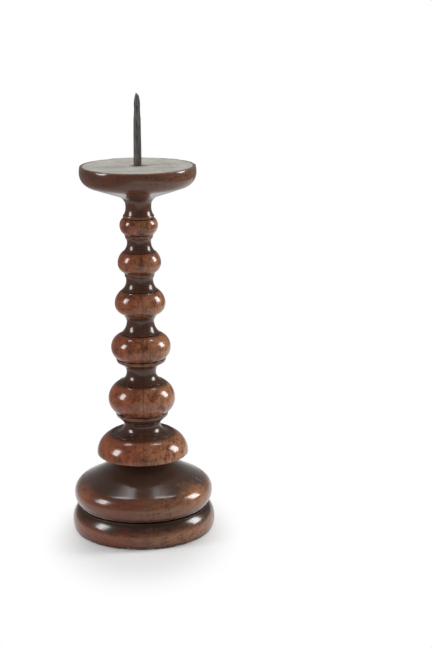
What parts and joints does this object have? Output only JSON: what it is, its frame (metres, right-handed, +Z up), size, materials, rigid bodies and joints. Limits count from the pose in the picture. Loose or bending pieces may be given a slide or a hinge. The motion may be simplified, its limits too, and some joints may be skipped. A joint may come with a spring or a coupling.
{
  "type": "pricket candle stand",
  "caption": "Turned wooden pricket candle stand: knopped stem on a domed double base, round drip pan and square iron spike.",
  "frame": {"origin": "centre of the foot on the surface that it stands on", "axes": "+Z up along the turning axis; the stand is round about it, and the spike's arris nearest -Y is a little to the +X side"},
  "size_m": [0.1744, 0.1744, 0.5311],
  "materials": {
    "foot_wood": "waxed, dark reddish brown",
    "dome_wood": "waxed, smoky brown with ochre patches",
    "stem_wood": "polished reddish brown, dark in the hollows",
    "wedge_wood": "bare, sawn",
    "pan_wood": "polished edge, dull grey top",
    "spike_iron": "forged, dark grey"
  },
  "bodies": {
    "root": {"foot_disc": "foot_wood", "base_dome": "dome_wood", "stem": "stem_wood", "tenon_wedge": "wedge_wood", "drip_pan": "pan_wood", "pricket_spike": "spike_iron"}
  },
  "joints": []
}
